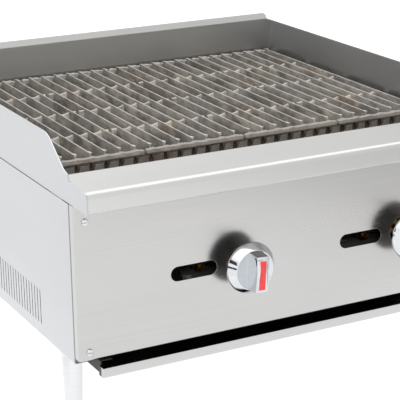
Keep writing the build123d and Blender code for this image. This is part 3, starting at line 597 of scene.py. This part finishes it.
def rounded_slab(half_x, half_z, y, bow, corner=1.6 * MM, bend=0.0):
    """A ring around a grip section at depth y; its long sides bow in by the share `bow`.

    bend: how much farther back the ring lies at its top and bottom than at its middle.
    """
    steps, ring = 12, []
    for corner_x, corner_z, start in ((1, 1, 0), (-1, 1, 90), (-1, -1, 180), (1, -1, 270)):
        for k in range(5):
            angle = math.radians(start + 90 * k / 4)
            ring.append([corner_x * (half_x - corner) + corner * math.cos(angle),
                         corner_z * (half_z - corner) + corner * math.sin(angle)])
        if start in (90, 270):
            sign = -1 if start == 90 else 1
            for k in range(1, steps):
                ring.append([sign * half_x, sign * (half_z - corner) * (2 * k / steps - 1)])
    return [(x * (1 - bow * (1 - (z / half_z) ** 2)), y + bend * (z / half_z) ** 2, z) for x, z in ring]


def make_knob(side, chrome_look, red_look):
    """Skirted chrome knob with a raised bar grip and its red insert."""
    low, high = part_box(f"knob_{side}")
    insert_low, insert_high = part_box(f"knob_insert_{side}")
    stem_low, stem_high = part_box(f"valve_stem_{side}")
    centre = Vector(((stem_low.x + stem_high.x) / 2, 0, (stem_low.z + stem_high.z) / 2))
    face, radius = low.y, (high.x - low.x) / 2
    rim_back, disc = face + RIM_BACK, face + DISC_BACK
    mesh = bmesh.new()
    outline = [
        (NECK_RADIUS, rim_back - 0.2 * MM), (radius - 3.0 * MM, rim_back - 0.2 * MM),
        (radius - 0.8 * MM, rim_back), (radius - 0.1 * MM, rim_back - 0.6 * MM),
        (radius, rim_back - 1.6 * MM), (radius - 0.5 * MM, rim_back - 2.8 * MM),
        (radius - 1.6 * MM, rim_back - 4.4 * MM), (27.9 * MM, disc + 0.9 * MM),
        (27.3 * MM, disc + 0.1 * MM), (26.4 * MM, disc), (25.7 * MM, disc + 0.5 * MM),
        (20.0 * MM, disc + 0.9 * MM), (8.0 * MM, disc + 1.0 * MM),
    ]
    revolve_y(mesh, outline)
    revolve_y(mesh, [(NECK_RADIUS, rim_back + 9.0 * MM), (NECK_RADIUS, rim_back - 1.0 * MM)], 48)
    sections = [
        (10.6, 25.9, disc + 2.0 * MM, 0.0, 0.0), (10.0, 25.6, disc + 0.6 * MM, 0.0, 0.0),
        (9.5, 24.8, disc - 8.0 * MM, 0.01, 1.0 * MM), (9.1, 24.2, face + 1.2 * MM, 0.02, FACE_BEND),
        (8.9, 24.0, face + 0.3 * MM, 0.02, FACE_BEND), (8.4, 23.5, face, 0.02, FACE_BEND),
    ]
    loft(mesh, [rounded_slab(x * MM, z * MM, y, bow, bend=bend) for x, z, y, bow, bend in sections])
    data = finish_mesh(mesh, f"chrome_knob_{side}", 33.0)
    data.transform(Matrix.Translation(centre) @ Matrix.Rotation(KNOB_REST_TURN, 4, "Y"))
    place(data, f"chrome_knob_{side}", f"{side}_knob", "knob", chrome_look, f"knob_{side}")

    mesh = bmesh.new()
    half_x, half_z = (insert_high.x - insert_low.x) / 2, (insert_high.z - insert_low.z) / 2
    top, insert_bend = face - 0.35 * MM, FACE_BEND * (half_z / GRIP_HALF_Z) ** 2
    loft(mesh, [rounded_slab(half_x * s, half_z * s, y, 0.2, 0.8 * MM, insert_bend) for s, y in
                ((1.0, top + 1.6 * MM), (1.0, top + 0.25 * MM), (0.97, top))])
    data = finish_mesh(mesh, f"red_insert_{side}", 33.0)
    data.transform(Matrix.Translation(centre + INSERT_DROP) @ Matrix.Rotation(KNOB_REST_TURN, 4, "Y"))
    place(data, f"red_insert_{side}", f"{side}_knob", "insert", red_look, f"knob_insert_{side}")


# ---- studio --------------------------------------------------------------------------------
def add_card(name, half_x, half_y, material):
    """A flat rectangle about its own centre, as a studio piece."""
    data = bpy.data.meshes.new(name)
    corners = [(-half_x, -half_y, 0), (half_x, -half_y, 0), (half_x, half_y, 0), (-half_x, half_y, 0)]
    data.from_pydata(corners, [], [(0, 1, 2, 3)])
    data.materials.append(material)
    card = bpy.data.objects.new(name, data)
    bpy.context.scene.collection.objects.link(card)
    return card


def make_floor():
    """Plain pale floor that glows by its own emission as painted light: brightest around the object and
    dimmer in front of it on the right.
    """
    look = Look("floor", (0.15, 0.15, 0.15), 0.0, 0.9)
    away = look.math("SUBTRACT", look.axis("X"), look.math("MULTIPLY", look.axis("Y"), 0.35))
    in_front = look.range(look.axis("Y"), -0.62, -0.5, 1.0, 0.0)
    dim = look.math("MULTIPLY", look.range(away, 0.5, 1.2, 0.0, 0.42), in_front)
    around = look.math("MULTIPLY", look.range(look.axis("Y"), -0.55, -0.42),
                       look.range(look.axis("X"), -0.5, -0.38))
    glow = look.math("ADD", look.math("MULTIPLY", around, 0.14), 0.84)
    look.set(look.shader, "Emission Color", (1.0, 1.0, 1.0, 1.0))
    look.set(look.shader, "Emission Strength", look.math("SUBTRACT", glow, dim))
    floor = add_card("floor", 9.0, 9.0, look.material)


def dark_card(name, direction, distance, size):
    """Dark studio card that only reflections see, facing the knobs from a direction."""
    width, height = size
    card = add_card(name, width / 2, height / 2, Look(name, (0.02, 0.02, 0.0194), 0.0, 0.9).material)
    aim = Vector(direction).normalized()
    card.location = KNOB_SPOT + aim * distance
    card.rotation_euler = aim.to_track_quat("Z", "Y").to_euler()
    card.visible_camera = card.visible_diffuse = card.visible_shadow = False


def area_light(name, place_at, size, power):
    """A white soft light aimed at the object's middle."""
    light = bpy.data.lights.new(name, "AREA")
    light.shape = "RECTANGLE"
    light.size, light.size_y = size
    light.energy = power
    lamp = bpy.data.objects.new(name, light)
    bpy.context.scene.collection.objects.link(lamp)
    lamp.location = place_at
    lamp.rotation_euler = (Vector(LIGHT_AIM) - Vector(place_at)).to_track_quat("-Z", "Y").to_euler()
    return lamp


def make_world():
    """White studio: brightest overhead, a little darker in front and to the right."""
    world = bpy.data.worlds.new("studio")
    bpy.context.scene.world = world
    world.use_nodes = True
    tree = world.node_tree
    background = next(n for n in tree.nodes if n.type == "BACKGROUND")
    background.inputs["Color"].default_value = (1.0, 1.0, 1.0, 1.0)
    direction = tree.nodes.new("ShaderNodeSeparateXYZ")
    tree.links.new(tree.nodes.new("ShaderNodeTexCoord").outputs["Generated"], direction.inputs[0])
    x, y, z = (direction.outputs[axis] for axis in "XYZ")

    def smooth(value, low, high, to_low, to_high):
        made = tree.nodes.new("ShaderNodeMapRange")
        made.interpolation_type = "SMOOTHSTEP"
        tree.links.new(value, made.inputs["Value"])
        for socket, number in zip(("From Min", "From Max", "To Min", "To Max"),
                                  (low, high, to_low, to_high)):
            made.inputs[socket].default_value = number
        return made.outputs["Result"]

    def join(operation, a, b):
        made = tree.nodes.new("ShaderNodeMath")
        made.operation = operation
        tree.links.new(a, made.inputs[0])
        tree.links.new(b, made.inputs[1])
        return made.outputs[0]

    room = join("MAXIMUM", smooth(y, -0.75, -0.3, 0.0, 1.0), smooth(z, 0.35, 0.6, 0.98, 0.86))
    walls = join("MULTIPLY", room, smooth(x, 0.15, 0.8, 1.18, 0.72))
    lean = tree.nodes.new("ShaderNodeMath")
    lean.operation = "MULTIPLY"
    lean.inputs[1].default_value = 0.35
    tree.links.new(y, lean.inputs[0])
    overhead = smooth(join("ADD", z, lean.outputs[0]), 0.62, 0.86, 0.0, 1.8)
    tree.links.new(join("MAXIMUM", walls, overhead), background.inputs["Strength"])


def make_camera():
    """The camera at its place, with its axes built from azimuth, elevation and roll."""
    azimuth, elevation, roll = (math.radians(a) for a in (CAMERA_AZIMUTH, CAMERA_ELEVATION, CAMERA_ROLL))
    back = Vector((math.sin(azimuth) * math.cos(elevation), -math.cos(azimuth) * math.cos(elevation),
                   math.sin(elevation)))
    right = (-back).cross(Vector((0, 0, 1))).normalized()
    up = right.cross(-back)
    turned_right = math.cos(roll) * right + math.sin(roll) * up
    turned_up = -math.sin(roll) * right + math.cos(roll) * up
    camera = bpy.data.objects.new("camera", bpy.data.cameras.new("camera"))
    bpy.context.scene.collection.objects.link(camera)
    axes = Matrix((turned_right, turned_up, back)).transposed().to_4x4()
    camera.matrix_world = Matrix.Translation(CAMERA_PLACE) @ axes
    camera.data.lens, camera.data.sensor_width = LENS, SENSOR
    camera.data.shift_x, camera.data.shift_y = SHIFT_X, SHIFT_Y
    camera.data.clip_start, camera.data.clip_end = 0.05, 50.0
    bpy.context.scene.camera = camera


# ---- build ---------------------------------------------------------------------------------
def dress_frame():
    """Materials for the CAD nodes that keep their own shape."""
    panel_low, panel_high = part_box("front_panel")
    span = panel_high.z - panel_low.z
    # heights of the painted beige reflection streaks on the front panel
    streaks = (panel_low.z + 0.45 * span, panel_low.z + 0.75 * span)
    side_front, tray_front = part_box("side_panel_left")[0].y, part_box("drip_tray")[0].y
    paint_nodes(brushed_steel("steel_front", "X", (0.60, 0.60, 0.595), 0.25, streaks), "front_panel")
    paint_nodes(brushed_steel("steel_across", "X"), "rear_panel")
    # the ledge's front face is painted lighter, as painted light
    paint_nodes(brushed_steel("steel_ledge", "X", (0.585, 0.585, 0.575), 0.31, edge=4.0 * MM,
                              face=(0.67, 0.67, 0.658)), "front_ledge")
    # the tray is painted near black behind its front, as the shade under the panel
    paint_nodes(brushed_steel("steel_tray", "X", inside=tray_front + 6.0 * MM), "drip_tray")
    paint_nodes(brushed_steel("steel_splash", "X", (0.56, 0.56, 0.545), 0.32), "back_splash")
    paint_nodes(brushed_steel("steel_guards", "Y", (0.60, 0.612, 0.63), 0.30), *both("splash_guard"))
    # painted shadow line on the side panels' front edges, in the gap to the front panel's return
    paint_nodes(brushed_steel("steel_sides", "Y", (0.60, 0.612, 0.63), 0.24,
                              seams=("Y", side_front, 4.0 * MM)), *both("side_panel"))
    paint_nodes(dull_sheet("streaked_wall", (0.36, 0.34, 0.31), 0.5, (0.20, 0.15, 0.11), 0.6),
                "firebox_front_wall")
    paint_nodes(dull_sheet("dull_liner", (0.40, 0.385, 0.36)), "firebox_rear_wall",
                *both("firebox_liner"), "front_grate_rest", "rear_grate_rest",
                "front_radiant_rest", "rear_radiant_rest", "rear_burner_support")
    # runners and base frame get a near-black sheet colour
    paint_nodes(dull_sheet("near_black_base", (0.10, 0.095, 0.09), 0.55), *both("tray_runner"), "base_frame")
    paint_nodes(scorched("scorched_radiant", (0.20, 0.18, 0.165), (0.24, 0.15, 0.10)),
                *[f"radiant_{p}" for p in PLACES])
    paint_nodes(scorched("scorched_burner", (0.36, 0.35, 0.34), (0.30, 0.25, 0.21)),
                *both("burner"), *both("air_shutter"))
    paint_nodes(dark_pipe("dark_pipe"), "manifold_pipe", "supply_elbow", "supply_pipe")
    paint_nodes(brass("turned_brass"), *both("gas_valve"), *both("pilot_valve"), *both("valve_stem"))
    paint_nodes(dull_sheet("pilot_aluminium", (0.62, 0.62, 0.62), 0.35), *both("pilot_tube"),
                *both("pilot_burner"))
    paint_nodes(plated_leg("plated_leg"), *[f"leg_{e}_{s}" for e in ENDS for s in SIDES])
    paint_nodes(dull_sheet("zinc_foot", (0.55, 0.55, 0.56), 0.4),
                *[f"foot_{e}_{s}" for e in ENDS for s in SIDES])
    paint_nodes(chrome("plated_screw", (0.72, 0.72, 0.73), 0.16), "casing_screws")


def main():
    """Studio first, then the CAD nodes' materials, then the pieces that get a better shape."""
    make_camera()
    make_world()
    make_floor()
    area_light("key", (-2.2, -1.2, 2.8), (2.4, 1.6), 12.0)
    front = area_light("front", (-0.9, -3.0, 1.7), (1.2, 0.8), 50.0)
    front.visible_glossy = False
    dark_card("card_left_high", (-0.93, 0.0, 0.32), 2.5, (1.2, 0.55))
    dark_card("card_left_low", (-0.99, 0.0, -0.03), 2.5, (1.2, 0.35))
    dark_card("card_back_right", (0.83, 0.27, 0.48), 2.5, (0.9, 0.32))
    dress_frame()
    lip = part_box("grate_far_left")[0]
    iron = cast_iron("cast_iron_skin", lip.z + BAR_HEIGHT - LIP_LOW + CHAR_AND_SHADE_FOOT,
                     lip.y + LIP_DEPTH + 0.5 * MM)
    for i, name in enumerate(PLACES):
        make_grate(name, iron, 20 * i)
    bright, red = chrome("bright_chrome"), red_plastic("red_insert_plastic")
    for side in SIDES:
        make_knob(side, bright, red)
    bpy.context.scene.view_settings.view_transform = "Standard"


main()
